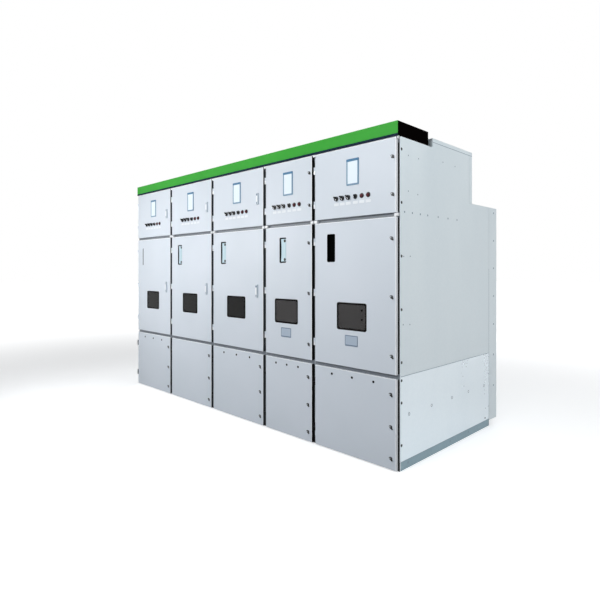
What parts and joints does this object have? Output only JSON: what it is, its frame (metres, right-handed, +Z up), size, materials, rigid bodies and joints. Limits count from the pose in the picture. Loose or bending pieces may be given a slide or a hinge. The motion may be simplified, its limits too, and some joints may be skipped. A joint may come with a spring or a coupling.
{
  "type": "metal-enclosed switchgear line-up",
  "caption": "Row of free-standing switchgear cubicles with stacked hinged doors, windows, displays, a green fascia and a raised bus chamber behind.",
  "frame": {"origin": "on the floor, under the centre of the row's bounding box", "axes": "+X along the row towards its right end as seen from the doors, +Y towards the back, +Z up"},
  "size_m": [3.8, 1.624, 2.413],
  "materials": {
    "door_paint": "satin light grey powder coat",
    "galvanised_sheet": "semi-gloss aluminium-zinc coated sheet",
    "galvanised_frame": "semi-gloss galvanised section",
    "dark_frame": "satin dark grey paint",
    "green_fascia": "gloss green paint",
    "black_box": "matt black paint",
    "hinge_metal": "plated",
    "latch_metal": "satin",
    "display_case": "satin blue-grey",
    "control_plastic": "gloss black",
    "black_plastic": "matt black",
    "window_glass": "clear, slightly grey"
  },
  "bodies": {
    "housing": {"base_long_channels": "galvanised_frame", "base_side_channels": "galvanised_frame", "base_cross_bars": "galvanised_frame", "front_posts": "dark_frame", "front_rails": "dark_frame", "inner_walls": "galvanised_sheet", "upper_side_panels": "galvanised_sheet", "lower_side_panels": "galvanised_sheet", "rear_end_strips": "galvanised_sheet", "inner_floors": "galvanised_sheet", "instrument_back_walls": "galvanised_sheet", "rear_step_walls": "galvanised_sheet", "rear_covers": "galvanised_sheet", "roof_sheets": "galvanised_sheet", "rear_box_floor": "galvanised_sheet", "bus_chamber_cap": "galvanised_sheet", "fascia": "green_fascia", "small_bus_box": "black_box", "frame_hinges": "hinge_metal"},
    "instrument_door_1": {"instrument_door_1": "door_paint", "display_1": "display_case", "control_row_1": "control_plastic", "instrument_latch_1": "latch_metal"},
    "breaker_door_1": {"breaker_door_1": "door_paint", "window_pane_1": "window_glass", "breaker_latch_1": "latch_metal"},
    "cable_door_1": {"cable_door_1": "door_paint"},
    "instrument_door_2": {"instrument_door_2": "door_paint", "display_2": "display_case", "control_row_2": "control_plastic", "instrument_latch_2": "latch_metal"},
    "breaker_door_2": {"breaker_door_2": "door_paint", "window_pane_2": "window_glass", "operating_handle_2": "black_plastic", "breaker_latch_2": "latch_metal"},
    "cable_door_2": {"cable_door_2": "door_paint"},
    "instrument_door_3": {"instrument_door_3": "door_paint", "display_3": "display_case", "control_row_3": "control_plastic", "instrument_latch_3": "latch_metal"},
    "breaker_door_3": {"breaker_door_3": "door_paint", "window_pane_3": "window_glass", "operating_handle_3": "black_plastic", "breaker_latch_3": "latch_metal"},
    "cable_door_3": {"cable_door_3": "door_paint"},
    "instrument_door_4": {"instrument_door_4": "door_paint", "display_4": "display_case", "control_row_4": "control_plastic"},
    "breaker_door_4": {"breaker_door_4": "door_paint", "window_pane_4": "window_glass", "operating_handle_4": "black_plastic"},
    "cable_door_4": {"cable_door_4": "door_paint"},
    "instrument_door_5": {"instrument_door_5": "door_paint", "display_5": "display_case", "control_row_5": "control_plastic"},
    "breaker_door_5": {"breaker_door_5": "door_paint", "window_pane_5": "window_glass", "handle_recess_5": "black_plastic"},
    "cable_door_5": {"cable_door_5": "door_paint"}
  },
  "joints": [
    {"name": "instrument_door_1_hinge", "type": "hinge", "parent": "housing", "child": "instrument_door_1", "pos_m": [-1.885, -0.785, 2.044], "axis": [0, 0, -1], "range_deg": [0, 110]},
    {"name": "breaker_door_1_hinge", "type": "hinge", "parent": "housing", "child": "breaker_door_1", "pos_m": [-1.885, -0.785, 1.21], "axis": [0, 0, -1], "range_deg": [0, 110]},
    {"name": "cable_door_1_hinge", "type": "hinge", "parent": "housing", "child": "cable_door_1", "pos_m": [-1.885, -0.785, 0.321], "axis": [0, 0, -1], "range_deg": [0, 110]},
    {"name": "instrument_door_2_hinge", "type": "hinge", "parent": "housing", "child": "instrument_door_2", "pos_m": [-1.085, -0.785, 2.044], "axis": [0, 0, -1], "range_deg": [0, 110]},
    {"name": "breaker_door_2_hinge", "type": "hinge", "parent": "housing", "child": "breaker_door_2", "pos_m": [-1.085, -0.785, 1.21], "axis": [0, 0, -1], "range_deg": [0, 110]},
    {"name": "cable_door_2_hinge", "type": "hinge", "parent": "housing", "child": "cable_door_2", "pos_m": [-1.085, -0.785, 0.321], "axis": [0, 0, -1], "range_deg": [0, 110]},
    {"name": "instrument_door_3_hinge", "type": "hinge", "parent": "housing", "child": "instrument_door_3", "pos_m": [-0.285, -0.785, 2.044], "axis": [0, 0, -1], "range_deg": [0, 110]},
    {"name": "breaker_door_3_hinge", "type": "hinge", "parent": "housing", "child": "breaker_door_3", "pos_m": [-0.285, -0.785, 1.21], "axis": [0, 0, -1], "range_deg": [0, 110]},
    {"name": "cable_door_3_hinge", "type": "hinge", "parent": "housing", "child": "cable_door_3", "pos_m": [-0.285, -0.785, 0.321], "axis": [0, 0, -1], "range_deg": [0, 110]},
    {"name": "instrument_door_4_hinge", "type": "hinge", "parent": "housing", "child": "instrument_door_4", "pos_m": [0.515, -0.785, 2.044], "axis": [0, 0, -1], "range_deg": [0, 110]},
    {"name": "breaker_door_4_hinge", "type": "hinge", "parent": "housing", "child": "breaker_door_4", "pos_m": [0.515, -0.785, 1.21], "axis": [0, 0, -1], "range_deg": [0, 110]},
    {"name": "cable_door_4_hinge", "type": "hinge", "parent": "housing", "child": "cable_door_4", "pos_m": [0.515, -0.785, 0.321], "axis": [0, 0, -1], "range_deg": [0, 110]},
    {"name": "instrument_door_5_hinge", "type": "hinge", "parent": "housing", "child": "instrument_door_5", "pos_m": [1.115, -0.785, 2.044], "axis": [0, 0, -1], "range_deg": [0, 110]},
    {"name": "breaker_door_5_hinge", "type": "hinge", "parent": "housing", "child": "breaker_door_5", "pos_m": [1.115, -0.785, 1.21], "axis": [0, 0, -1], "range_deg": [0, 110]},
    {"name": "cable_door_5_hinge", "type": "hinge", "parent": "housing", "child": "cable_door_5", "pos_m": [1.115, -0.785, 0.321], "axis": [0, 0, -1], "range_deg": [0, 110]}
  ]
}
